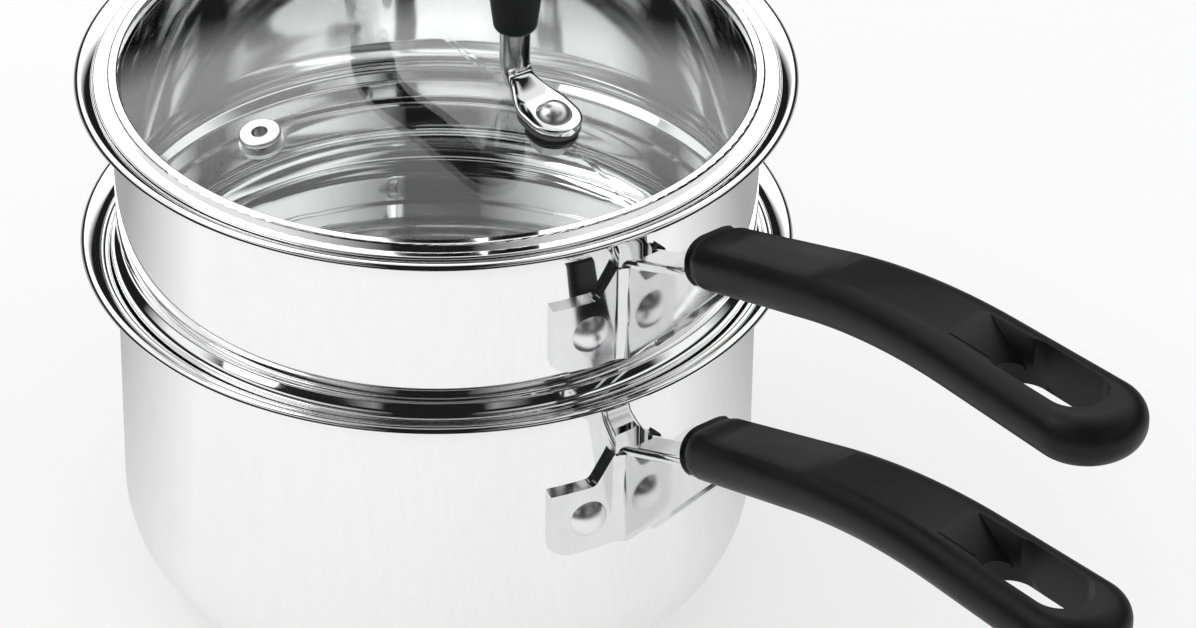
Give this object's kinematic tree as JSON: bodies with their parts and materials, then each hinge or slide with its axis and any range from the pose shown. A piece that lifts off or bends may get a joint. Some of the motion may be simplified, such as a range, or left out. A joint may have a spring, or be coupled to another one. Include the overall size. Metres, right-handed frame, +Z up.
{
  "type": "double boiler",
  "caption": "Double boiler: a saucepan, a second pan that rests in its lip and a vented glass lid, all with black stay-cool handles.",
  "frame": {"origin": "centre of the base's underside, where the saucepan stands on the stove", "axes": "+Z up along the axis of both pans and the lid, +X along both pan handles from the axis to their tips, +Y completes a right-handed frame"},
  "size_m": [0.3427, 0.18, 0.2117],
  "materials": {
    "pan_steel": "polished",
    "base_steel": "fine brushed",
    "core_aluminium": "bare",
    "bracket_steel": "polished",
    "band_steel": "polished",
    "loop_steel": "polished",
    "rivet_steel": "polished",
    "screw_steel": "satin",
    "grip_black": "matte",
    "pad_rubber": "matte",
    "lid_glass": "clear"
  },
  "bodies": {
    "saucepan": {"saucepan_shell": "pan_steel", "saucepan_base_core": "core_aluminium", "saucepan_base_cap": "base_steel", "saucepan_bracket": "bracket_steel", "saucepan_rivets": "rivet_steel", "saucepan_ferrule": "bracket_steel", "saucepan_grip": "grip_black", "saucepan_grip_screw": "screw_steel"},
    "insert": {"insert_shell": "pan_steel", "insert_bracket": "bracket_steel", "insert_rivets": "rivet_steel", "insert_ferrule": "bracket_steel", "insert_grip": "grip_black", "insert_grip_screw": "screw_steel"},
    "lid": {"lid_glass": "lid_glass", "lid_rim_band": "band_steel", "lid_vent_eyelet": "rivet_steel", "lid_vent_washer": "rivet_steel", "lid_handle_loop": "loop_steel", "lid_handle_sleeve": "grip_black", "lid_handle_bolts": "rivet_steel", "lid_foot_pads": "pad_rubber", "lid_under_pads": "pad_rubber", "lid_handle_nuts": "screw_steel"}
  },
  "joints": [
    {"name": "insert_lift", "type": "slide", "parent": "saucepan", "child": "insert", "axis": [0, 0, 1], "range_m": [0, 0.12]},
    {"name": "lid_lift", "type": "slide", "parent": "insert", "child": "lid", "axis": [0, 0, 1], "range_m": [0, 0.12]}
  ]
}
